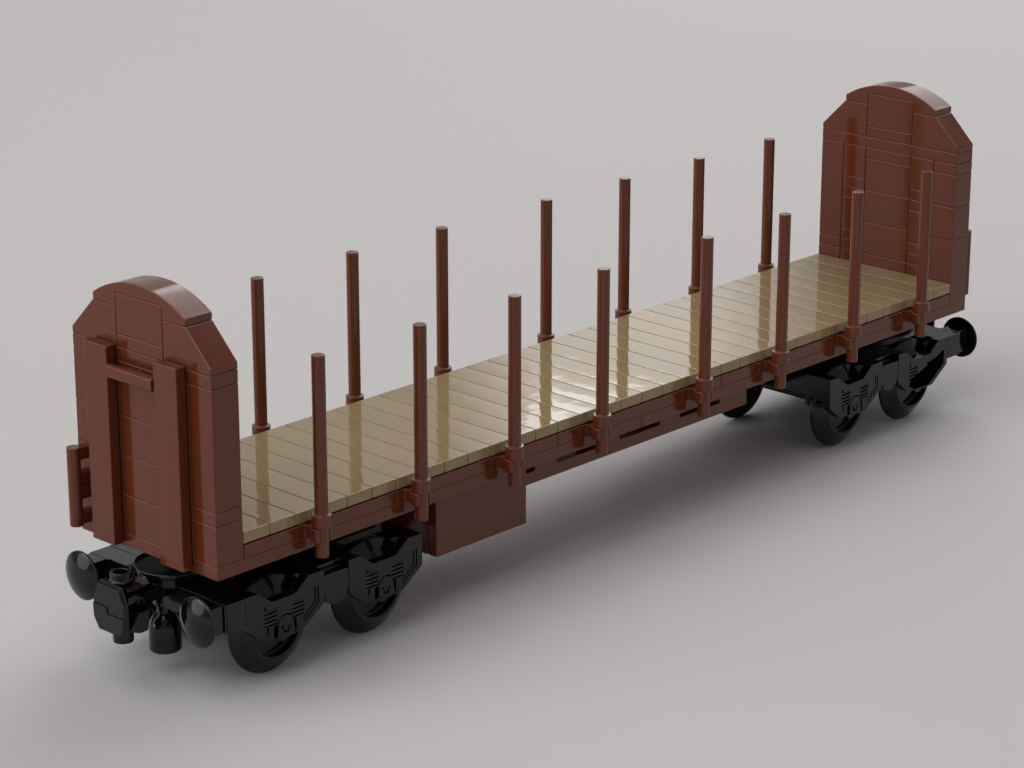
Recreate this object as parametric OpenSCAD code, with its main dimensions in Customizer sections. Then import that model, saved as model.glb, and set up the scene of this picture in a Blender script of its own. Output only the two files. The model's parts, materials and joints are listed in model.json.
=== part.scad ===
// Bulkhead flat wagon for a toy building system with an 8 mm grid.
// Origin: centre of the wagon, on the plane its wheel flanges stand on.
// +X runs to the rear end, +Y to the right side, +Z up. The two ends are the same, turned by 180 degrees.

/* [Grid] */
// Pitch of the building grid
pitch = 8; // [8:0.5:8]
// Height of a plate or a tile
plate_h = 3.2; // [3.2:0.1:3.2]
// Clearance each piece keeps to its cell of the grid
gap = 0.07; // [0.04:0.01:0.1]

/* [Wagon] */
// Length of the deck, in tiles laid across the wagon
planks = 34; // [34:1:34]
// Width of the wagon, in studs
width_studs = 6; // [6:1:6]
// Distance from the wagon's centre to a bogie pivot
bogie_x = 108; // [104:1:108]

/* [Stakes] */
// Diameter of a stake
stake_d = 3.2; // [3:0.1:3.2]
// Height of a stake's top above the sill
stake_top = 47.5; // [30:0.5:60]
// Diameter of the stop ring on a stake
stake_ring_d = 4.7; // [4.2:0.1:5.4]

/* [Running gear] */
// Diameter of a wheel over its flange
flange_d = 24; // [22:0.5:24]
// Distance between the two axles of a bogie
axle_base = 32; // [32:1:34]
// Diameter of the steel axles
axle_d = 2; // [1.6:0.1:2.4]
// Radial clearance of every shaft in its bore
run_fit = 0.05; // [0.02:0.01:0.09]

/* [Buffers and couplers] */
// Diameter of a buffer head
buffer_d = 12; // [9:0.5:12]
// Distance from the wagon's centre line to a buffer
buffer_y = 20.4; // [18:0.2:21]
// Diameter of a stud, and of the peg below the coupler
stud_d = 4.8; // [4.4:0.1:4.9]

/* [Hidden] */
$fn = 64;

brown = "#6b2a20";
tan_tile = "#8f7350";
black = "#1c1c1e";
steel = "#a9adb2";
dark_steel = "#34353a";

// Heights above the standing plane
flange_r = flange_d / 2;
axle_z = flange_r;
sill_z = axle_z + 17.8;
floor_z = sill_z + plate_h;
deck_z = floor_z + plate_h;

// Plan of the body
brick_h = 3 * plate_h;
half_w = width_studs * pitch / 2;
deck_half = planks * pitch / 2;
half_l = deck_half + pitch;
floor_joint_x = 4 * pitch;
seam = 0.05;

// Stakes stand half a stud outside the wagon's side, in clips on its grid
stake_xs = [-116, -84, -52, -20, 20, 52, 84, 116];
stake_y = half_w + pitch / 2;
stake_foot = sill_z - 0.8;
stake_r = stake_d / 2;
clip_r = stake_r + 1.05;

// Tool boxes and truss below the sill, on the left side; the right side is turned by 180 degrees
box_x = [-72, -40];
box_h = 16;
box_face_y = 20.8;
box_wall = 1.5;
truss_x = [-40, 48];
truss_posts = [[-36, -28], [-12, -4], [12, 20], [36.7, 48]];
truss_y = 20;

// Bulkhead bricks as [low Y, high Y, low Z, high Z], Z above the sill underside
centre_bricks = [[-8, 8, 3.2, 12.8], [-8, 8, 12.8, 22.4], [-8, 8, 22.4, 32], [-8, 8, 32, 41.6],
                 [-8, 8, 41.6, 44.8], [-8, 8, 48, 51.2], [-8, 8, 51.2, 60.8]];
batten_bricks = [[8, 16, 3.2, 12.8], [8, 16, 12.8, 16], [8, 16, 16, 19.2], [8, 16, 19.2, 28.8],
                 [8, 16, 28.8, 32], [8, 16, 32, 35.2], [8, 16, 35.2, 44.8]];
left_bricks = [[-24, -16, 3.2, 12.8], [-24, -16, 12.8, 16], [-24, -16, 16, 44.8]];
right_bricks = [[16, 24, 22.4, 32], [16, 24, 32, 41.6], [16, 24, 41.6, 44.8]];
head_plate_z = 44.8;
shoulder_z = 48;
cap_z = 57.6;
cap_top = 64;
cap_end = 59.3;
cap_hollow = 60.8;
batten_z = [0.8, 48.8];

// Bogie, with its pivot at X = 0 and its buffers towards -X
holder_l = 24;
frame_out = half_w;
frame_in = 21.3;
coils_x = [[-6.6, -2.7], [1.9, 5.5]];
coils_z = [2.45, 6.4];
bogie_top = sill_z - 3.6;
holder_top = sill_z - 6.4;
pivot_plate_z = sill_z - plate_h;
beam_x = [-33.6, -28];
beam_bottom = sill_z - 13.1;
nose_x = -28.6;
nose_r = 9.36;
peg_x = -32;
coupler_x = -44.2;
tongue_z = [sill_z - 10.6, sill_z - 7.9];
tongue_r = 2.4;
pin_r = 1.2;

// Coupler housing, with the pin at X = 0
hook_z = [sill_z - 7.8, sill_z - 4.2];
belly_z = [sill_z - 15.6, sill_z - 10.7];
face_x = -3.9;
face_back = -2.8;
neck_back = -2.1;
hook_back = 4.7;
hook_w = 5;
magnet_r = 3.4;
magnet_z = sill_z - 10;
magnet_x = [-3.6, -3];
upper_seam_z = sill_z - 9.3;
lower_seam_z = sill_z - 10.8;
seam_step_y = 0.4;

// ---------------------------------------------------------------- helpers

// Box between two opposite corners
module block(low, high) {
    translate(low)
        cube(high - low);
}

// A copy turned by 180 degrees about the wagon's vertical centre line
module both_ends() {
    children();
    rotate(180)
        children();
}

// Moves a bogie piece, or a whole bogie, to the front (0) or the rear (1)
module at_bogie(end) {
    rotate(180 * end)
        translate([-bogie_x, 0, 0])
            children();
}

// Lays a profile drawn in X and Z along Y, from y0 to y1
module along_y(y0, y1) {
    translate([0, y1, 0])
        rotate([90, 0, 0])
            linear_extrude(y1 - y0)
                children();
}

// Lays a profile drawn in Y and Z along X, from x0 to x1
module along_x(x0, x1) {
    translate([x0, 0, 0])
        rotate([90, 0, 90])
            linear_extrude(x1 - x0)
                children();
}

// Straight stroke between two points of a profile, square-ended and half its width longer at each end
module stroke(a, b, w) {
    d = b - a;
    translate(a)
        rotate(atan2(d[1], d[0]))
            translate([-w / 2, -w / 2])
                square([norm(d) + w, w]);
}

// Chain of strokes through a list of points
module strokes(points, w) {
    for (i = [1 : len(points) - 1])
        stroke(points[i - 1], points[i], w);
}

// Tile with the thin groove round its foot, filling cells of the grid, standing on Z = 0
module tile(nx, ny) {
    groove = 0.4;
    block([gap + groove, gap + groove, 0], [nx * pitch - gap - groove, ny * pitch - gap - groove, groove]);
    block([gap, gap, groove], [nx * pitch - gap, ny * pitch - gap, plate_h]);
}

// ---------------------------------------------------------------- underframe and deck

module sill_plates() {
    color(brown)
        both_ends()
            block([-half_l + gap, -half_w, sill_z], [-gap, half_w, floor_z]);
}

// Room for the clip plates along both sides of the floor
module clip_notches() {
    for (x = stake_xs, side = [-1, 1])
        translate([x - pitch / 2, side > 0 ? half_w - pitch : -half_w - 1, floor_z - 1])
            cube([pitch, pitch + 1, plate_h + 2]);
}

// Floor layer between two places along the wagon
module floor_layer(x0, x1) {
    difference() {
        block([x0 + gap, -half_w, floor_z], [x1 - gap, half_w, deck_z]);
        clip_notches();
    }
}

module floor_plates() {
    color(brown)
        both_ends()
            floor_layer(-deck_half, -floor_joint_x);
}

module floor_middle_plate() {
    color(brown)
        floor_layer(-floor_joint_x, floor_joint_x);
}

// One-stud plate with an upright C clip on the left side; the clip opens outwards
module clip_plate() {
    mouth = 2.9;
    arm_end = 1.05;
    neck_half = 1.6;
    neck_reach = 1.9;
    difference() {
        union() {
            block([-pitch / 2 + gap, gap, 0], [pitch / 2 - gap, pitch - gap, plate_h - seam]);
            block([-neck_half, -neck_reach, 0], [neck_half, gap, plate_h - seam]);
            translate([0, -pitch / 2, 0])
                cylinder(r = clip_r, h = plate_h - seam);
        }
        translate([0, -pitch / 2, -1])
            cylinder(r = stake_r + run_fit, h = plate_h + 2);
        block([-mouth / 2, -pitch, -1], [mouth / 2, -pitch / 2, plate_h + 1]);
        block([-pitch / 2, -pitch, -1], [pitch / 2, -pitch / 2 - arm_end, plate_h + 1]);
    }
}

module stake_clips() {
    color(brown)
        both_ends()
            for (x = stake_xs)
                translate([x, -half_w, floor_z])
                    clip_plate();
}

module deck_planks() {
    color(tan_tile)
        for (i = [0 : planks - 1])
            translate([-deck_half + i * pitch, -half_w, deck_z])
                tile(1, width_studs);
}

// ---------------------------------------------------------------- bulkheads

// One brick of a bulkhead from its [low Y, high Y, low Z, high Z]
module wall_brick(b) {
    block([-half_l + gap, b[0] + gap, sill_z + b[2]], [-deck_half - gap, b[1] - gap, sill_z + b[3] - seam]);
}

module wall_bricks() {
    for (b = concat(centre_bricks, batten_bricks, left_bricks, right_bricks))
        wall_brick(b);
    for (b = batten_bricks)
        wall_brick([-b[1], -b[0], b[2], b[3]]);
    wall_brick([-half_w, half_w, head_plate_z, shoulder_z]);
}

module front_wall_bricks() {
    color(brown)
        wall_bricks();
}

module rear_wall_bricks() {
    color(brown)
        rotate(180)
            wall_bricks();
}

// One-stud brick with an upright grab bar standing off its outer face
module grab_brick() {
    bar_out = 4.4;
    bar_r = 1.6;
    arm_half = 1.2;
    arm_h = 2.9;
    arm_end = 0.3;
    top = brick_h - seam;
    block([gap, -pitch / 2 + gap, 0], [pitch - gap, pitch / 2 - gap, top]);
    translate([-bar_out, 0, 0])
        cylinder(r = bar_r, h = top);
    for (z = [arm_end, top - arm_end - arm_h])
        block([-bar_out, -arm_half, z], [gap + 0.1, arm_half, z + arm_h]);
}

module grab_bricks() {
    color(brown)
        both_ends()
            for (level = [0, 1])
                translate([-half_l, half_w - pitch / 2, floor_z + level * brick_h])
                    grab_brick();
}

module slope_bricks() {
    outer = half_w - gap;
    inner = pitch + gap;
    lip = 1.6;
    top = cap_z - seam;
    color(brown)
        both_ends()
            for (side = [0, 1])
                mirror([0, side, 0])
                    translate([0, 0, sill_z])
                        along_x(-half_l + gap, -deck_half - gap)
                            polygon([
                                [inner, shoulder_z], [outer, shoulder_z], [outer, shoulder_z + lip],
                                [2 * pitch, top], [inner, top]
                            ]);
}

module arch_caps() {
    half = 2 * pitch - gap;
    rise = cap_top - cap_end;
    arc_r = (half * half + rise * rise) / (2 * rise);
    color(brown)
        both_ends()
            translate([0, 0, sill_z])
                along_x(-half_l + gap, -deck_half - gap)
                    difference() {
                        intersection() {
                            translate([0, cap_top - arc_r])
                                circle(r = arc_r, $fn = 180);
                            translate([-half, cap_z])
                                square([2 * half, cap_top]);
                        }
                        translate([-pitch, 0])
                            square([2 * pitch, cap_hollow]);
                    }
}

// Upright tiles on the bulkheads' outer faces
module battens() {
    color(brown)
        both_ends()
            for (y = [-2 * pitch, pitch])
                translate([-half_l + gap, y, sill_z + batten_z[1]])
                    rotate([0, 90, 180])
                        translate([0, -pitch, 0])
                            tile(width_studs, 1);
}

// Short bar between the battens, standing off the wall on a round post
module cross_bars() {
    front = 3.7;
    thick = 2.1;
    round_r = 0.7;
    z0 = 41.6;
    half = pitch - 2 * gap;
    color(brown)
        both_ends()
            translate([-half_l, 0, sill_z]) {
                along_y(-half, half) {
                    for (x = [-front + round_r, -front + thick - round_r], z = [z0 + round_r, z0 + plate_h - round_r])
                        translate([x, z])
                            circle(r = round_r);
                    translate([-front, z0 + round_r])
                        square([thick, plate_h - 2 * round_r]);
                    translate([-front + round_r, z0])
                        square([thick - 2 * round_r, plate_h]);
                }
                translate([-front + thick - 0.1, 0, z0 + plate_h / 2])
                    rotate([0, 90, 0])
                        cylinder(r = 1.2, h = front - thick + 0.1 + gap);
            }
}

// ---------------------------------------------------------------- below the sill

module tool_boxes() {
    depth = 2 * pitch;
    front_y = -box_face_y + plate_h;
    color(brown)
        both_ends()
            difference() {
                block([box_x[0] + gap, front_y, sill_z - box_h], [box_x[1] - gap, front_y + depth, sill_z]);
                block([box_x[0] + box_wall, front_y - 1, sill_z - box_h + box_wall],
                      [box_x[1] - box_wall, front_y + depth - box_wall, sill_z - box_wall]);
            }
}

module tool_box_fronts() {
    color(brown)
        both_ends()
            translate([box_x[0], -box_face_y + plate_h, sill_z - box_h])
                rotate([90, 0, 0])
                    tile(4, 2);
}

module truss_rails() {
    rail_z = sill_z - 2 * plate_h;
    color(brown)
        both_ends() {
            block([truss_x[0] + gap, -truss_y, rail_z], [truss_x[1], -truss_y + pitch, rail_z + plate_h]);
            for (p = truss_posts)
                block([p[0], -truss_y, rail_z + plate_h - 0.1], [p[1], -truss_y + pitch, sill_z]);
        }
}

// Two-stud plate with a pin; the lip below the bogie plate holds the bogie on
module bogie_pivots() {
    pin_z = holder_top - 1.1;
    lip_r = stud_d / 2 + 0.35;
    color(black)
        both_ends()
            translate([-bogie_x, 0, 0]) {
                block([-pitch, -pitch, pivot_plate_z], [pitch, pitch, sill_z]);
                translate([0, 0, pin_z])
                    cylinder(d = stud_d, h = pivot_plate_z - pin_z + 0.1);
                translate([0, 0, pin_z])
                    cylinder(r = lip_r, h = 0.9);
            }
}

// ---------------------------------------------------------------- stakes

// Stake of one side, -1 left or 1 right, counted from the front
module stake(side, number) {
    color(brown)
        translate([stake_xs[number - 1], side * stake_y, 0]) {
            translate([0, 0, stake_foot])
                cylinder(r = stake_r, h = sill_z + stake_top - stake_foot);
            translate([0, 0, deck_z])
                cylinder(d = stake_ring_d, h = plate_h);
        }
}

// ---------------------------------------------------------------- bogie

// Flat plate that carries the bogie, with the round nose over the buffer beam
module bogie_plate() {
    rim_h = 1;
    skirt_r = nose_r - 1.2;
    tab_h = 3.1;
    tab_t = 0.9;
    tab_angles = [212, 126];
    tab_sweep = 22;
    difference() {
        union() {
            block([nose_x, -pitch, holder_top], [holder_l + pitch / 2, pitch, bogie_top]);
            translate([nose_x, 0, holder_top])
                cylinder(r = skirt_r, h = bogie_top - holder_top);
            translate([nose_x, 0, bogie_top - rim_h])
                cylinder(r = nose_r, h = rim_h);
            for (a = tab_angles)
                translate([nose_x, 0, bogie_top - tab_h])
                    rotate(a)
                        rotate_extrude(angle = tab_sweep)
                            translate([nose_r - tab_t, 0])
                                square([tab_t - 0.06, tab_h - 0.4]);
        }
        translate([0, 0, holder_top - 1])
            cylinder(r = stud_d / 2 + run_fit, h = plate_h + 2);
        translate([nose_x, 0, bogie_top - rim_h + 0.3])
            cylinder(r = nose_r - 0.45, h = rim_h);
    }
}

// Outline of a side frame around its axle at (0, 0)
module frame_outline() {
    top = holder_top - axle_z;
    half = holder_l / 2;
    polygon([
        [-half, top], [-8.4, top], [-4.1, top - 3.2], [3.3, top - 3.2], [7.4, top], [half, top],
        [half, 3.3], [5.1, -1.4], [0.7, -1.6], [-7.4, -0.6], [-half, 3.3]
    ]);
}

// Hollows of a side frame that don't go through it
module frame_hollows() {
    box_half = 2.4;
    box_z = 1.4;
    difference() {
        union() {
            for (x = coils_x)
                translate([x[0], coils_z[0]])
                    square([x[1] - x[0], coils_z[1] - coils_z[0]]);
            translate([coils_x[0][0], coils_z[1] - 0.1])
                polygon([[0, 0], [1.1, 0], [0, 1.5]]);
            translate([0, box_z])
                circle(r = box_half + 0.4);
        }
        translate([0, box_z])
            circle(r = box_half);
        translate([-box_half, -2])
            square([2 * box_half, box_z + 2]);
    }
}

// Fine grooves drawn on a side frame
module frame_grooves() {
    rail_w = 0.42;
    mark_w = 0.55;
    strokes([[9.15, 7.7], [9.15, 4.4], [5.3, 1.5]], rail_w);
    strokes([[10.1, 7.7], [10.1, 3.9], [5.6, 0.6]], rail_w);
    strokes([[-5.6, 2], [-5.6, 1.1], [-6, 0.8]], mark_w);
    strokes([[-1.1, 1.2], [-1, 0.4], [-0.3, -0.2], [0.5, -0.2], [1.1, 1.1]], mark_w);
}

// Open slots beside the axle box
module frame_slots() {
    translate([-3.8, -0.9])
        square([1.3, 3]);
    translate([2.65, -1.1])
        square([0.55, 3.3]);
}

// Side frame on the left of an axle at the origin, with its bearing boss inside
module side_frame() {
    spring_depth = 1.5;
    groove_depth = 0.7;
    coil_r = 0.36;
    coil_pitch = 1.02;
    boss_r = 2.2;
    boss_z = -0.7;
    bearing_depth = 1.6;
    difference() {
        union() {
            along_y(-frame_out, -frame_in)
                frame_outline();
            along_y(-frame_in - 1.5, -frame_in) {
                translate([0, boss_z])
                    circle(r = boss_r);
                translate([-boss_r, boss_z])
                    square([2 * boss_r, 2.4]);
            }
        }
        along_y(-frame_out - 1, -frame_out + spring_depth)
            frame_hollows();
        along_y(-frame_out - 1, -frame_out + groove_depth)
            frame_grooves();
        along_y(-frame_out - 1, -frame_in + 1)
            frame_slots();
        along_y(-frame_in - bearing_depth, -frame_in + 1)
            circle(r = axle_d / 2 + run_fit);
    }
    for (x = coils_x, i = [0 : 3])
        translate([x[0] - 0.1, -frame_out + coil_r + 0.1, coils_z[0] + coil_r + 0.1 + i * coil_pitch])
            rotate([0, 90, 0])
                cylinder(r = coil_r, h = x[1] - x[0] + 0.2, $fn = 24);
}

// Holder for one axle: two side frames, end walls and a centre deck, around an axle at the origin
module axle_holder() {
    top = holder_top - axle_z;
    half = holder_l / 2;
    wall_t = 1;
    shelf_l = 3.4;
    shelf_t = 1.4;
    wall_low = 5.2;
    tab_t = 0.65;
    tab_low = 2.5;
    tabs = [[15.5, 16.8], [18.5, frame_in + 0.1]];
    window_y = [19.2, 21.1];
    window_z = [3.7, 4.6];
    deck_w = 16;
    deck_t = 2.8;
    for (turn = [0, 180])
        rotate(turn) {
            side_frame();
            block([-half, -frame_in - 0.1, wall_low], [-half + wall_t, frame_in + 0.1, top]);
            block([-half, -frame_in - 0.1, top - shelf_t], [-half + shelf_l, frame_in + 0.1, top]);
            difference() {
                for (side = [0, 1], tab = tabs)
                    mirror([0, side, 0])
                        block([-half, tab[0], tab_low], [-half + tab_t, tab[1], wall_low + 0.1]);
                for (side = [0, 1])
                    mirror([0, side, 0])
                        block([-half - 1, window_y[0], window_z[0]], [-half + 1, window_y[1], window_z[1]]);
            }
        }
    block([-half, -deck_w, top - deck_t], [half, deck_w, top]);
}

module axle_holders(end) {
    color(black)
        at_bogie(end)
            for (x = [-axle_base / 2, axle_base / 2])
                translate([x, 0, axle_z])
                    axle_holder();
}

// Beam across the bogie between its two holders, with D-shaped ends
module cross_beam(end) {
    d_centre = sill_z - 12.2;
    d_top = sill_z - 8.1;
    half = pitch / 2 - gap;
    color(black)
        at_bogie(end)
            difference() {
                union() {
                    for (y = [-frame_out, frame_in - 0.1])
                        along_y(y, y + frame_out - frame_in + 0.1) {
                            translate([0, d_centre])
                                circle(r = half);
                            translate([-half, d_centre])
                                square([2 * half, d_top - d_centre]);
                        }
                    block([-half, -frame_in - 0.05, holder_top - plate_h], [half, frame_in + 0.05, holder_top]);
                }
                translate([0, 0, holder_top - plate_h - 1])
                    cylinder(r = 3.4, h = plate_h + 2);
            }
}

// Bar across the bogie's outer end, with the tongue that carries the coupler
module buffer_beam(end) {
    post_r = 2.4;
    tongue_half = 2;
    rib_x = [-4.2, -2.4];
    color(black)
        at_bogie(end)
            difference() {
                union() {
                    block([beam_x[0], -frame_out, beam_bottom], [beam_x[1] - gap, frame_out, holder_top - seam]);
                    translate([peg_x, 0, beam_bottom])
                        cylinder(r = post_r, h = holder_top - seam - beam_bottom);
                    block([coupler_x, -tongue_half, tongue_z[0]], [beam_x[0] + 1, tongue_half, tongue_z[1]]);
                    translate([coupler_x, 0, tongue_z[0]])
                        cylinder(r = tongue_r, h = tongue_z[1] - tongue_z[0]);
                    for (x = rib_x)
                        block([coupler_x - x, -tongue_half - 0.5, tongue_z[0]],
                              [coupler_x - x + 0.6, tongue_half + 0.5, tongue_z[1]]);
                }
                translate([coupler_x, 0, tongue_z[0] - 1])
                    cylinder(r = pin_r + run_fit, h = 5);
            }
}

// Buffer on the left side: square base, stem, and a thin head with a shallow dome
module buffer() {
    base_y = [-23.4, -17.8];
    base_x = -37.5;
    head_back = -39.1;
    head_z = sill_z - 9.75;
    head_r = buffer_d / 2;
    rim_t = 0.5;
    dome = 1.7;
    dome_r = (head_r * head_r + dome * dome) / (2 * dome);
    block([base_x, base_y[0], beam_bottom + 0.1], [beam_x[0] - 0.8, base_y[1], holder_top]);
    block([beam_x[0] - 0.6, base_y[0] - 0.5, beam_bottom - 0.2], [beam_x[0] - seam, base_y[1] + 0.5, holder_top]);
    block([beam_x[0] - 1, base_y[0] + 0.5, beam_bottom + 0.6], [beam_x[0] - 0.5, base_y[1] - 0.5, holder_top - 0.5]);
    translate([base_x + 0.1, -buffer_y, head_z])
        rotate([0, -90, 0]) {
            cylinder(r = 2.4, h = base_x - head_back + 0.2);
            translate([0, 0, base_x - head_back]) {
                cylinder(r = head_r, h = rim_t);
                intersection() {
                    translate([0, 0, rim_t + dome - dome_r])
                        sphere(r = dome_r, $fn = 128);
                    cylinder(r = head_r, h = rim_t + dome + 1);
                }
            }
        }
}

module buffers(end) {
    color(black)
        at_bogie(end)
            for (side = [0, 1])
                mirror([0, side, 0])
                    buffer();
}

// Round peg hanging below the beam, with a domed shoulder
module hanging_peg(end) {
    foot = sill_z - 24.5;
    body_r = 3.8;
    stem_r = 1.7;
    shoulder = 5;
    dome_h = 5;
    dome_end = acos(stem_r / body_r);
    peg_top = 11.4;
    steps = 8;
    dome = [for (i = [0 : steps]) [body_r * cos(i / steps * dome_end), shoulder + dome_h * sin(i / steps * dome_end)]];
    color(black)
        at_bogie(end)
            translate([peg_x, 0, foot])
                rotate_extrude()
                    polygon(concat([[0, 0], [body_r - 0.3, 0], [body_r, 0.4]], dome, [[stem_r, peg_top], [0, peg_top]]));
}

// ---------------------------------------------------------------- wheelsets

// Rail wheel on the left, with a conical front, around an axle at the origin
module wheel() {
    face = 20.95;
    back = 17;
    flange_t = 1.2;
    bore = axle_d / 2 + 0.01;
    hub_r = 2.6;
    dish_r = 7.4;
    dish_t = 2.2;
    cone_r = 8.5;
    rotate([90, 0, 0])
        rotate_extrude($fn = 128)
            polygon([
                [bore, back - 0.4], [hub_r, back - 0.4], [hub_r, back + 0.9], [dish_r, back + 0.9],
                [dish_r + 0.4, back], [flange_r - 0.3, back], [flange_r, back + 0.3],
                [flange_r, back + flange_t - 0.3], [flange_r - 0.4, back + flange_t],
                [cone_r, face - 0.6], [cone_r - 0.2, face - 0.2], [cone_r - 0.6, face],
                [dish_r, face], [dish_r - 0.3, face - dish_t], [hub_r + 0.4, face - dish_t],
                [hub_r, face - 0.2], [bore, face - 0.2]
            ]);
}

// Moves a piece to axle 1 (front) to 4 (rear)
module at_axle(number) {
    end = number > 2 ? 1 : -1;
    inner = number == 2 || number == 3 ? -1 : 1;
    translate([end * (bogie_x + inner * axle_base / 2), 0, axle_z])
        children();
}

module wheels(number) {
    color(black)
        at_axle(number)
            for (turn = [0, 180])
                rotate(turn)
                    wheel();
}

module axle(number) {
    reach = frame_in + 1.4;
    color(dark_steel)
        at_axle(number)
            translate([0, reach, 0])
                rotate([90, 0, 0])
                    cylinder(d = axle_d, h = 2 * reach);
}

// ---------------------------------------------------------------- coupler

// Octagon of the coupler's face, drawn in Y and Z and grown outwards by some amount
module face_octagon(grow) {
    polygon([
        [-5.2 - grow, sill_z - 8], [-3.6 - grow / 2, sill_z - 4.4 + grow],
        [3.6 + grow / 2, sill_z - 4.4 + grow], [5.2 + grow, sill_z - 8],
        [5.2 + grow, sill_z - 12.7], [3.7 + grow / 2, sill_z - 15.4 - grow],
        [-3.7 - grow / 2, sill_z - 15.4 - grow], [-5.2 - grow, sill_z - 12.7]
    ]);
}

// Face plate of the coupler with a bevel all round
module face_plate() {
    bevel = 0.6;
    hull() {
        along_x(face_x, face_x + 0.05)
            face_octagon(0);
        along_x(face_back - 0.05, face_back)
            face_octagon(bevel);
    }
}

// Plan of the housing behind the face plate: a narrow neck, then wide from front_x, with cut corners at its back
module housing_plan(waist_x, front_x) {
    cut = 1.2;
    neck_w = 2.9;
    neck_x = face_back - 0.1;
    half = [
        [neck_x, neck_w], [waist_x, neck_w], [front_x, hook_w], [hook_back - cut, hook_w], [hook_back, hook_w - cut]
    ];
    polygon(concat(half, [for (i = [len(half) - 1 : -1 : 0]) [half[i][0], -half[i][1]]]));
}

// Whole housing before it is split into halves
module housing_body() {
    bevel = 0.5;
    tooth_back = -0.5;
    side_cut = 0.7;
    side_top = hook_z[0] + 1.8;
    face_plate();
    difference() {
        intersection() {
            translate([0, 0, hook_z[0]])
                linear_extrude(hook_z[1] - hook_z[0])
                    housing_plan(neck_back, neck_back);
            along_x(face_back - 1, hook_back + 1)
                polygon([
                    [-hook_w, hook_z[0]], [hook_w, hook_z[0]], [hook_w, hook_z[1] - bevel],
                    [hook_w - bevel, hook_z[1]], [-hook_w + bevel, hook_z[1]], [-hook_w, hook_z[1] - bevel]
                ]);
            along_y(-hook_w - 1, hook_w + 1)
                polygon([
                    [face_back - 1, hook_z[0]], [hook_back, hook_z[0]], [hook_back, hook_z[1] - 2],
                    [2.5, hook_z[1]], [face_back - 1, hook_z[1]]
                ]);
        }
        for (side = [0, 1])
            mirror([0, side, 0])
                block([tooth_back, hook_w - side_cut, hook_z[0] - 1], [hook_back + 1, hook_w + 1, side_top]);
    }
    intersection() {
        translate([0, 0, belly_z[0]])
            linear_extrude(belly_z[1] - belly_z[0])
                housing_plan(-0.5, 0.9);
        along_y(-hook_w - 1, hook_w + 1)
            polygon([
                [face_back - 1, belly_z[1]], [hook_back, belly_z[1]], [hook_back - 0.4, belly_z[0] + 2.4],
                [hook_back - 1.7, belly_z[0]], [face_back - 1, belly_z[0]]
            ]);
    }
}

// Room above the stepped joint between the two halves
module above_joint(shift) {
    block([-10, -10, lower_seam_z + shift], [10, seam_step_y - shift, sill_z]);
    block([-10, seam_step_y - shift - 1, upper_seam_z + shift], [10, 10, sill_z]);
}

// Wedge on the front of the lower half, whose top edge stands proud of the upper half
module face_ledge() {
    proud = 0.3;
    reach = 6;
    intersection() {
        along_x(face_x - 1, face_x + 0.1)
            face_octagon(0);
        for (span = [[-reach, seam_step_y, lower_seam_z], [seam_step_y, reach, upper_seam_z]])
            along_y(span[0], span[1])
                polygon([
                    [face_x - proud, span[2]], [face_x, belly_z[0]],
                    [face_x + 0.1, belly_z[0]], [face_x + 0.1, span[2]]
                ]);
    }
}

module coupler_housing(end) {
    split = 0.06;
    color(black)
        at_bogie(end)
            translate([coupler_x, 0, 0])
                difference() {
                    union() {
                        intersection() {
                            housing_body();
                            above_joint(0);
                        }
                        difference() {
                            union() {
                                housing_body();
                                face_ledge();
                            }
                            above_joint(-split);
                        }
                    }
                    translate([0, 0, belly_z[0] - 1])
                        cylinder(r = pin_r + 0.02, h = hook_z[1] - belly_z[0] + 2);
                    translate([magnet_x[0], 0, magnet_z])
                        rotate([0, 90, 0])
                            cylinder(r = magnet_r + 0.02, h = magnet_x[1] - magnet_x[0]);
                }
}

module coupler_magnet(end) {
    color(steel)
        at_bogie(end)
            translate([coupler_x + magnet_x[0] + 0.02, 0, magnet_z])
                rotate([0, 90, 0])
                    cylinder(r = magnet_r, h = magnet_x[1] - magnet_x[0] - 0.04);
}

// Pin the coupler swivels on: hollow stud on a collar above, shaft through the tongue, round peg below
module coupler_pin(end) {
    collar_r = 2.7;
    collar_h = 0.8;
    stud_h = 1.9;
    stud_bore = 1.6;
    bore_depth = 1.6;
    peg_h = 3;
    collar_z = hook_z[1];
    stud_z = collar_z + collar_h;
    color(black)
        at_bogie(end)
            translate([coupler_x, 0, 0])
                difference() {
                    union() {
                        translate([0, 0, belly_z[0] - peg_h])
                            cylinder(d = stud_d, h = peg_h);
                        translate([0, 0, belly_z[0] - 0.1])
                            cylinder(r = pin_r, h = collar_z - belly_z[0] + 0.2);
                        translate([0, 0, collar_z])
                            cylinder(r = collar_r, h = collar_h);
                        translate([0, 0, stud_z - 0.1])
                            cylinder(d = stud_d, h = stud_h + 0.1);
                    }
                    translate([0, 0, stud_z + stud_h - bore_depth])
                        cylinder(r = stud_bore, h = bore_depth + 1);
                }
}

// ---------------------------------------------------------------- assembly

sill_plates();
floor_plates();
floor_middle_plate();
stake_clips();
deck_planks();
front_wall_bricks();
rear_wall_bricks();
grab_bricks();
slope_bricks();
arch_caps();
battens();
cross_bars();
tool_boxes();
tool_box_fronts();
truss_rails();
bogie_pivots();
stake(-1, 1);  // stake_left_1
stake(-1, 2);  // stake_left_2
stake(-1, 3);  // stake_left_3
stake(-1, 4);  // stake_left_4
stake(-1, 5);  // stake_left_5
stake(-1, 6);  // stake_left_6
stake(-1, 7);  // stake_left_7
stake(-1, 8);  // stake_left_8
stake(1, 1);  // stake_right_1
stake(1, 2);  // stake_right_2
stake(1, 3);  // stake_right_3
stake(1, 4);  // stake_right_4
stake(1, 5);  // stake_right_5
stake(1, 6);  // stake_right_6
stake(1, 7);  // stake_right_7
stake(1, 8);  // stake_right_8
color(black) at_bogie(0) bogie_plate();  // front_bogie_plate
axle_holders(0);  // front_axle_holders
cross_beam(0);  // front_cross_beam
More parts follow.
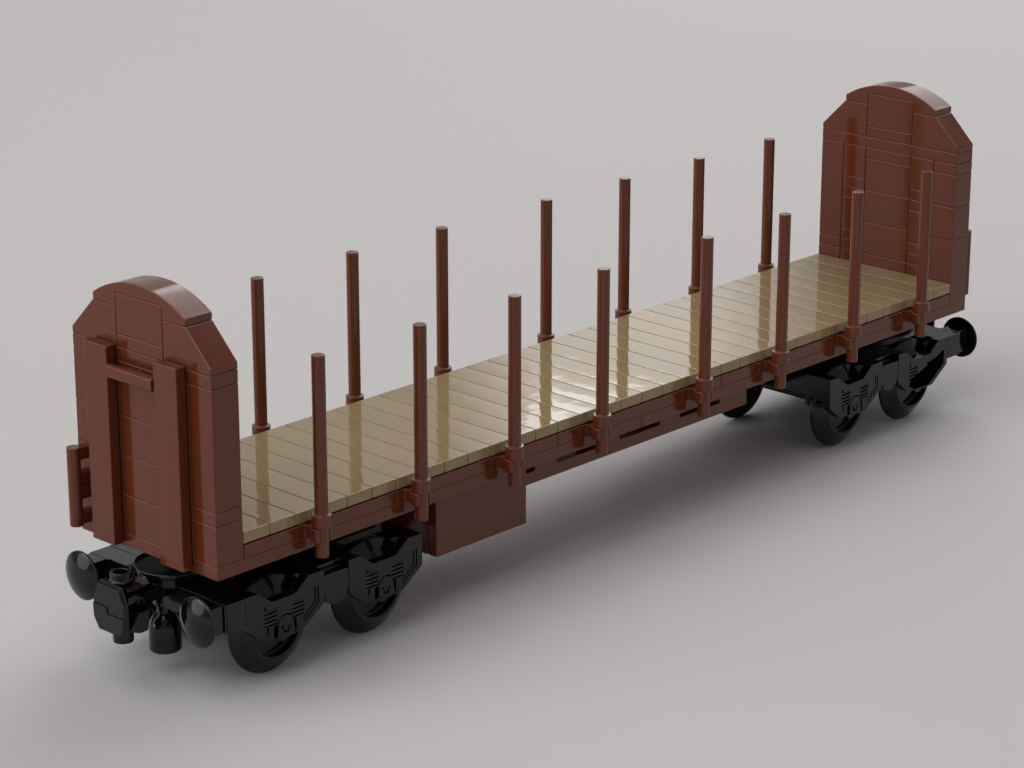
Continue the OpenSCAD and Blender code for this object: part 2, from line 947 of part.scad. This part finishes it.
buffer_beam(0);  // front_buffer_beam
buffers(0);  // front_buffers
hanging_peg(0);  // front_hanging_peg
color(black) at_bogie(1) bogie_plate();  // rear_bogie_plate
axle_holders(1);  // rear_axle_holders
cross_beam(1);  // rear_cross_beam
buffer_beam(1);  // rear_buffer_beam
buffers(1);  // rear_buffers
hanging_peg(1);  // rear_hanging_peg
coupler_housing(0);  // front_coupler_housing
coupler_magnet(0);  // front_coupler_magnet
coupler_pin(0);  // front_coupler_pin
coupler_housing(1);  // rear_coupler_housing
coupler_magnet(1);  // rear_coupler_magnet
coupler_pin(1);  // rear_coupler_pin
wheels(1);  // wheels_1
wheels(2);  // wheels_2
wheels(3);  // wheels_3
wheels(4);  // wheels_4
axle(1);  // axle_1
axle(2);  // axle_2
axle(3);  // axle_3
axle(4);  // axle_4
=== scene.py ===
"""Looks of the bulkhead flat wagon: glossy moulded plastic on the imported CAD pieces, in soft light."""
import json
import math

import bpy
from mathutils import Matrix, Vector

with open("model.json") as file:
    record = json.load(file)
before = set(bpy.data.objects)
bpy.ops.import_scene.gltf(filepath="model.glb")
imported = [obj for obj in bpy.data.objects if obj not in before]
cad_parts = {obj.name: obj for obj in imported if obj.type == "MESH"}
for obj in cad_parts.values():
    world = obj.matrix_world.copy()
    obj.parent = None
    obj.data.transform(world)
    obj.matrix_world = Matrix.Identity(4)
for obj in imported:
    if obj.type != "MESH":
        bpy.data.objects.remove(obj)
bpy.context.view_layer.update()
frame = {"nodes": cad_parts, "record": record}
NODES = frame["nodes"]
SLOTS = {row["node"]: row["material_slot"] for row in frame["record"]["subparts"]}
MM = 0.001

# ---------------------------------------------------------------- colours, linear
BROWN = (0.127, 0.0285, 0.0095)
TAN = (0.315, 0.228, 0.113)
BLACK = (0.0028, 0.0028, 0.0030)
STEEL = (0.60, 0.60, 0.62)
DARK_STEEL = (0.035, 0.035, 0.038)
FLOOR = (0.615, 0.597, 0.592)
SURROUNDINGS = (1.0, 0.985, 0.98)

# ---------------------------------------------------------------- edges of the CAD pieces
EDGE_ROUND = 0.22 * MM                 # rounding of a moulded edge
WELD = 0.001 * MM                      # corners closer than this are one corner
FLAT_ANGLE = math.radians(0.4)         # faces that meet at less than this are one flat face
ROUND_ANGLE = math.radians(34)         # edges sharper than this are rounded
# These nodes have details finer than EDGE_ROUND, so their rounding shrinks until no two edges cross
FINE_NODES = {
    "front_axle_holders", "rear_axle_holders",
    "front_coupler_housing", "rear_coupler_housing",
    "front_buffer_beam", "rear_buffer_beam",
    "front_buffers", "rear_buffers",
    "stake_clips", "arch_caps", "grab_bricks",
}

# ---------------------------------------------------------------- surface detail of the plastic
PIECE_SHIFT = (0.31, 0.17, 0.23)       # the most that the pattern moves from piece to piece, in metres
NOISE_SPAN = (0.3, 0.7)                # most of a noise texture lies between these values
# Noise scales, each about the number of marks in a metre
FLOW_SCALE = 55                        # pale and dark flow marks in the colour
SMUDGE_SCALE = 130                     # duller patches where a piece is handled
WAVE_SCALE = 180                       # slight waviness of a moulded face
GRAIN_SCALE = 900                      # fine grain left by the mould
SCRATCH_STRETCH = (60, 900, 900)       # scratches are long one way and thin the other ways
SCRATCH_TURN = (0.3, 0.2, 0.5)         # their direction, radians about X, Y and Z
SCRATCH_SCALE = 4
SCRATCH_LEVELS = (0.70, 0.78)          # noise where a scratch starts and is full
SCRATCH_DEPTH = 0.8                    # depth of a scratch as a share of the grain's
FINE_DEPTH = 0.0004 * MM               # depth of the grain
PLASTIC_IOR = 1.45
# Roughness that each of these adds
SMUDGE_ROUGH = 0.05
EDGE_ROUGH = 0.10
SCRATCH_ROUGH = 0.06
# Worn edges, and rounded edges that face up with a painted highlight of light from above: the radius over
# which the normal is blended, and the cosine of its turn where the edge starts and is full
WORN_RADIUS = 0.28 * MM
WORN_TURN = (0.99, 0.90)
HIGHLIGHT_RADIUS = 0.45 * MM
HIGHLIGHT_TURN = (0.995, 0.96)
PATCH_LEVELS = (0.35, 0.65)            # smudge noise where the wear of an edge is least and full
LEAST_WEAR = 0.25
# Where the painted highlight on the upward edges begins, and where it stops at a level top
FACES_UP = (0.1, 0.2)                  # upward part of the normal where a face begins to look up
LEVEL = (0.985, 0.999)                 # and where it becomes a level top

# ---------------------------------------------------------------- surface detail of the steel
ALONG_SCALE = 30                       # noise scale along the drawn lines
ACROSS_SCALE = 2500                    # and across them
LINE_DEPTH = 0.002 * MM
DULL_SCALE = 240                       # dull patches
DULL_LEVELS = (0.4, 0.7)               # noise where they start and are full
STEEL_ROUGH = (0.22, 0.42)             # between and on the lines

# ---------------------------------------------------------------- studio
FLOOR_HALF = 6.0                       # metres from the wagon to the edge of the floor
SURROUNDINGS_STRENGTH = 0.26
# Bright windows in the surroundings: turn from +X and rise in degrees, then half width, half height and
# soft edge as slopes from the window's centre, then gain
WINDOWS = [
    (40.9, 18, 0.045, 0.35, 0.018, 1.0),
    (46.0, 18, 0.16, 0.35, 0.06, 0.30),
    (-8.0, 44, 0.20, 0.16, 0.01, 0.6),
]
# Area lights: name, place, aim, size in metres, power in watts, shape
LIGHTS = [
    ("key", (-1.12, 0.22, 1.45), (0, 0, 0), (2.0, 2.0), 17.0, "RECTANGLE"),
    ("right_softbox", (1.20, 0.42, 1.15), (0, 0, 0), (1.5, 1.3), 11.5, "RECTANGLE"),
    ("low_disc", (-1.10, 0.60, 0.34), (-0.14, 0, 0.02), (0.84, 0.84), 2.6, "DISK"),
]
CAMERA_AT = (-0.52912, -0.47667, 0.27114)
CAMERA_TURN = math.radians(43.296)     # from +X towards +Y
CAMERA_DIP = math.radians(18.263)      # below the horizon
CAMERA_LENS = 100.71                   # millimetres, on a sensor of the width below
SENSOR_WIDTH = 36


# ---------------------------------------------------------------- node helpers
class Graph:
    """A small helper for wiring shader and geometry nodes."""

    def __init__(self, tree):
        self.tree = tree

    def add(self, kind, **values):
        """A new node; each value is fed to the input of that name, or else set as a property."""
        node = self.tree.nodes.new(kind)
        for key, value in values.items():
            if key in node.inputs:
                self.feed(node.inputs[key], value)
            else:
                setattr(node, key, value)
        return node

    def feed(self, socket, value):
        """Links an output to the socket, or sets the socket's value."""
        if isinstance(value, bpy.types.NodeSocket):
            self.tree.links.new(value, socket)
        else:
            socket.default_value = value

    def math(self, operation, a, b=0.0):
        node = self.add("ShaderNodeMath", operation=operation)
        self.feed(node.inputs[0], a)
        self.feed(node.inputs[1], b)
        return node.outputs[0]

    def vector(self, operation, a, b, result="Vector"):
        node = self.add("ShaderNodeVectorMath", operation=operation)
        self.feed(node.inputs[0], a)
        self.feed(node.inputs[1], b)
        return node.outputs[result]

    def dot(self, a, b):
        return self.vector("DOT_PRODUCT", a, b, "Value")

    def scaled(self, vector, factor):
        node = self.add("ShaderNodeVectorMath", operation="SCALE")
        self.feed(node.inputs[0], vector)
        self.feed(node.inputs["Scale"], factor)
        return node.outputs["Vector"]

    def remap(self, value, span, to_span):
        """Maps one span of values on another, and holds the ends beyond it."""
        node = self.add("ShaderNodeMapRange")
        self.feed(node.inputs["Value"], value)
        names = ("From Min", "From Max", "To Min", "To Max")
        for name, number in zip(names, (*span, *to_span)):
            self.feed(node.inputs[name], number)
        return node.outputs["Result"]

    def mix(self, share, a, b):
        node = self.add("ShaderNodeMix", data_type="RGBA")
        self.feed(node.inputs["Factor"], share)
        self.feed(node.inputs["A"], a)
        self.feed(node.inputs["B"], b)
        return node.outputs["Result"]

    def noise(self, place, scale, detail=2.0, roughness=0.5):
        node = self.add("ShaderNodeTexNoise", Scale=scale, Detail=detail, Roughness=roughness)
        self.feed(node.inputs["Vector"], place)
        return node.outputs["Fac"]

    def bump(self, height, depth, strength=1.0, below=None):
        """The normal of a relief of this depth, laid over the normal below if there is one."""
        node = self.add("ShaderNodeBump", Strength=strength, Distance=depth, Height=height)
        if below is not None:
            self.feed(node.inputs["Normal"], below)
        return node.outputs["Normal"]

    def finish(self, shader):
        """Ends a material with its surface shader."""
        out = self.add("ShaderNodeOutputMaterial")
        self.feed(out.inputs["Surface"], shader.outputs["BSDF"])


def rgba(colour):
    return (*colour, 1.0)


def new_material(name):
    material = bpy.data.materials.new(name)
    material.use_nodes = True
    material.node_tree.nodes.clear()
    return material, Graph(material.node_tree)


def piece_number(g):
    """A number from 0 to 1 that differs between the separate pieces of a node."""
    return g.add("ShaderNodeNewGeometry").outputs["Random Per Island"]


def piece_place(g):
    """Object coordinates, moved by a different amount for each separate piece of a node."""
    coords = g.add("ShaderNodeTexCoord").outputs["Object"]
    return g.vector("ADD", coords, g.scaled(PIECE_SHIFT, piece_number(g)))


def edge_mask(g, radius, normal, turn):
    """0 on a flat face, rising to 1 at an edge, where the normal blended over the radius turns away."""
    blended = g.add("ShaderNodeBevel", samples=4, Radius=radius).outputs["Normal"]
    return g.remap(g.dot(blended, normal), turn, (0, 1))


# ---------------------------------------------------------------- materials
def worn_edges(g, smudge):
    """The rubbed edges of a piece, patchy along their length."""
    normal = g.add("ShaderNodeNewGeometry").outputs["Normal"]
    patches = g.remap(smudge, PATCH_LEVELS, (LEAST_WEAR, 1))
    return g.math("MULTIPLY", edge_mask(g, WORN_RADIUS, normal, WORN_TURN), patches)


def painted_highlight_edges(g):
    """The narrow rounded edges that face up, but not the level tops: the mask of a painted highlight, as
    light from above would catch them.
    """
    flat = g.add("ShaderNodeNewGeometry").outputs["True Normal"]
    up = g.dot(flat, (0, 0, 1))
    faces_up = g.math("MULTIPLY", g.remap(up, FACES_UP, (0, 1)), g.remap(up, LEVEL, (1, 0)))
    return g.math("MULTIPLY", faces_up, edge_mask(g, HIGHLIGHT_RADIUS, flat, HIGHLIGHT_TURN))


def scratches(g, place):
    """Thin straight scratches, 0 between them."""
    stretch = g.add("ShaderNodeMapping", Vector=place, Scale=SCRATCH_STRETCH, Rotation=SCRATCH_TURN)
    return g.remap(g.noise(stretch.outputs["Vector"], SCRATCH_SCALE), SCRATCH_LEVELS, (0, 1))


def moulded_plastic(name, colour, gloss, tone, worn, painted_highlight, wave):
    """Glossy moulded plastic: tone from piece to piece, flow marks, fine scratches, slight waviness.

    Rubbed edges are paler by the share worn; rounded edges that face up are painted paler by their own
    share, a painted highlight of light from above.
    """
    material, g = new_material(name)
    place = piece_place(g)
    smudge = g.noise(place, SMUDGE_SCALE, detail=4, roughness=0.6)
    scratch = scratches(g, place)
    worn_edge = worn_edges(g, smudge)

    piece_shade = g.remap(piece_number(g), (0, 1), (1 - tone, 1 + tone))
    flow_shade = g.remap(g.noise(place, FLOW_SCALE, detail=3), NOISE_SPAN, (-tone / 2, tone / 2))
    shaded = g.scaled(colour, g.math("ADD", piece_shade, flow_shade))
    # The paler colour serves real wear on rubbed edges and a painted highlight on rounded edges that face
    # up
    pale = tuple(1.5 * channel + 0.05 for channel in colour)
    painted_highlight_share = g.math("MULTIPLY", painted_highlight_edges(g), painted_highlight)
    wear_and_highlight = g.math("MAXIMUM", g.math("MULTIPLY", worn_edge, worn), painted_highlight_share)

    rough = g.remap(smudge, NOISE_SPAN, (gloss, gloss + SMUDGE_ROUGH))
    rough = g.math("ADD", rough, g.math("MULTIPLY", worn_edge, EDGE_ROUGH))
    rough = g.math("ADD", rough, g.math("MULTIPLY", scratch, SCRATCH_ROUGH))

    waves = g.bump(g.noise(place, WAVE_SCALE, detail=1), wave)
    fine = g.math("ADD", g.noise(place, GRAIN_SCALE), g.math("MULTIPLY", scratch, SCRATCH_DEPTH))

    shader = g.add("ShaderNodeBsdfPrincipled", IOR=PLASTIC_IOR, Roughness=rough)
    g.feed(shader.inputs["Base Color"], g.mix(wear_and_highlight, shaded, rgba(pale)))
    g.feed(shader.inputs["Normal"], g.bump(fine, FINE_DEPTH, below=waves))
    g.finish(shader)
    return material


def drawn_steel(name, colour, along):
    """Drawn steel rod: fine lines along one axis (0 is X) and a few dull patches."""
    material, g = new_material(name)
    place = piece_place(g)
    scale = tuple(ALONG_SCALE if axis == along else ACROSS_SCALE for axis in range(3))
    stretch = g.add("ShaderNodeMapping", Vector=place, Scale=scale)
    drawn = g.noise(stretch.outputs["Vector"], 1, detail=3)
    dull = g.remap(g.noise(place, DULL_SCALE, detail=3), DULL_LEVELS, (0, 0.5))
    darker = tuple(0.5 * channel for channel in colour)

    shader = g.add("ShaderNodeBsdfPrincipled", Metallic=1.0)
    g.feed(shader.inputs["Base Color"], g.mix(dull, rgba(colour), rgba(darker)))
    g.feed(shader.inputs["Roughness"], g.remap(drawn, NOISE_SPAN, STEEL_ROUGH))
    g.feed(shader.inputs["Normal"], g.bump(drawn, LINE_DEPTH, strength=0.6))
    g.finish(shader)
    return material


def floor_paper(name):
    """Matt pale paper."""
    material, g = new_material(name)
    coords = g.add("ShaderNodeTexCoord").outputs["Object"]
    tone = g.remap(g.noise(coords, 3), NOISE_SPAN, (0.992, 1.008))
    shader = g.add("ShaderNodeBsdfPrincipled", Roughness=0.8)
    g.feed(shader.inputs["Base Color"], g.scaled(FLOOR, tone))
    g.feed(shader.inputs["Specular IOR Level"], 0.1)
    g.finish(shader)
    return material


FINISHES = {
    "brown_plastic": moulded_plastic(
        "brown_plastic_finish", BROWN, gloss=0.08, tone=0.035, worn=0.30, painted_highlight=1.0, wave=0.008 * MM
    ),
    "tan_plastic": moulded_plastic(
        "tan_plastic_finish", TAN, gloss=0.03, tone=0.04, worn=0.20, painted_highlight=0.35, wave=0.030 * MM
    ),
    "black_plastic": moulded_plastic(
        "black_plastic_finish", BLACK, gloss=0.07, tone=0.04, worn=0.25, painted_highlight=1.0, wave=0.006 * MM
    ),
    "axle_steel": drawn_steel("axle_steel_finish", DARK_STEEL, along=1),
    "magnet_steel": drawn_steel("magnet_steel_finish", STEEL, along=2),
}


# ---------------------------------------------------------------- CAD pieces
def clean_tree():
    """Geometry nodes that join the split corners of a CAD mesh and drop its imported normals."""
    tree = bpy.data.node_groups.new("clean_cad_mesh", "GeometryNodeTree")
    for direction in ("INPUT", "OUTPUT"):
        tree.interface.new_socket("Geometry", in_out=direction, socket_type="NodeSocketGeometry")
    g = Graph(tree)
    geometry = g.add("NodeGroupInput").outputs["Geometry"]
    for kind, values in (
        ("GeometryNodeMergeByDistance", {"Distance": WELD}),
        ("GeometryNodeRemoveAttribute", {"Name": "custom_normal"}),
        ("GeometryNodeSetShadeSmooth", {}),
    ):
        geometry = g.add(kind, Geometry=geometry, **values).outputs["Geometry"]
    g.feed(g.add("NodeGroupOutput").inputs["Geometry"], geometry)
    return tree


def round_edges(name, piece, tree):
    """Joins a CAD mesh's flat faces and rounds its edges, as a mould does."""
    clean = piece.modifiers.new("clean", "NODES")
    clean.node_group = tree
    flat = piece.modifiers.new("flat_faces", "DECIMATE")
    flat.decimate_type = "DISSOLVE"
    flat.angle_limit = FLAT_ANGLE
    bevel = piece.modifiers.new("rounded_edges", "BEVEL")
    bevel.width = EDGE_ROUND
    bevel.segments = 2
    bevel.limit_method = "ANGLE"
    bevel.angle_limit = ROUND_ANGLE
    bevel.use_clamp_overlap = name in FINE_NODES
    bevel.miter_outer = "MITER_ARC"
    normals = piece.modifiers.new("flat_shading", "WEIGHTED_NORMAL")
    normals.mode = "FACE_AREA"
    normals.weight = 100
    normals.keep_sharp = False


def dress_cad():
    """Gives each CAD node the finish of its material slot, and rounded edges."""
    tree = clean_tree()
    for name, piece in NODES.items():
        piece.data.materials.clear()
        piece.data.materials.append(FINISHES[SLOTS[name]])
        round_edges(name, piece, tree)


# ---------------------------------------------------------------- studio
def build_floor():
    corners = [(sx * FLOOR_HALF, sy * FLOOR_HALF, 0) for sx, sy in ((-1, -1), (1, -1), (1, 1), (-1, 1))]
    mesh = bpy.data.meshes.new("floor")
    mesh.from_pydata(corners, [], [(0, 1, 2, 3)])
    floor = bpy.data.objects.new("floor", mesh)
    floor.data.materials.append(floor_paper("floor_finish"))
    bpy.context.scene.collection.objects.link(floor)


def place_towards(thing, at, ahead):
    """Puts a light or camera in the scene, at a place and looking along a direction."""
    thing.location = at
    thing.rotation_mode = "QUATERNION"
    thing.rotation_quaternion = ahead.to_track_quat("-Z", "Y")
    bpy.context.scene.collection.objects.link(thing)


def build_light(name, at, aim, size, power, shape):
    data = bpy.data.lights.new(name, "AREA")
    data.shape = shape
    data.size, data.size_y = size
    data.energy = power
    place_towards(bpy.data.objects.new(name, data), at, Vector(aim) - Vector(at))


def window_mask(g, ray, turn, rise, half_width, half_height, edge):
    """1 where a ray from the object meets the window, 0 outside its soft edge."""
    centre = Vector((math.cos(rise) * math.cos(turn), math.cos(rise) * math.sin(turn), math.sin(rise)))
    side = Vector((-math.sin(turn), math.cos(turn), 0))
    ahead = g.dot(ray, centre)
    mask = g.math("GREATER_THAN", ahead, 0.1)
    for axis, half in ((side, half_width), (centre.cross(side), half_height)):
        offset = g.math("ABSOLUTE", g.math("DIVIDE", g.dot(ray, axis), ahead))
        mask = g.math("MULTIPLY", mask, g.remap(offset, (half - edge, half + edge), (1, 0)))
    return mask


def build_world():
    """Even pale surroundings with soft-edged bright windows."""
    world = bpy.data.worlds.new("studio")
    world.use_nodes = True
    world.node_tree.nodes.clear()
    g = Graph(world.node_tree)
    ray = g.add("ShaderNodeTexCoord").outputs["Generated"]
    total = SURROUNDINGS_STRENGTH
    for turn, rise, half_width, half_height, edge, gain in WINDOWS:
        mask = window_mask(g, ray, math.radians(turn), math.radians(rise), half_width, half_height, edge)
        total = g.math("ADD", g.math("MULTIPLY", mask, gain), total)
    back = g.add("ShaderNodeBackground", Color=rgba(SURROUNDINGS), Strength=total)
    out = g.add("ShaderNodeOutputWorld")
    g.feed(out.inputs["Surface"], back.outputs["Background"])
    bpy.context.scene.world = world


def build_camera():
    data = bpy.data.cameras.new("camera")
    data.lens = CAMERA_LENS
    data.sensor_width = SENSOR_WIDTH
    camera = bpy.data.objects.new("camera", data)
    level = math.cos(CAMERA_DIP)
    ahead = Vector((level * math.cos(CAMERA_TURN), level * math.sin(CAMERA_TURN), -math.sin(CAMERA_DIP)))
    place_towards(camera, CAMERA_AT, ahead)
    bpy.context.scene.camera = camera


dress_cad()
build_floor()
build_world()
for light in LIGHTS:
    build_light(*light)
build_camera()
bpy.context.scene.view_settings.view_transform = "Standard"
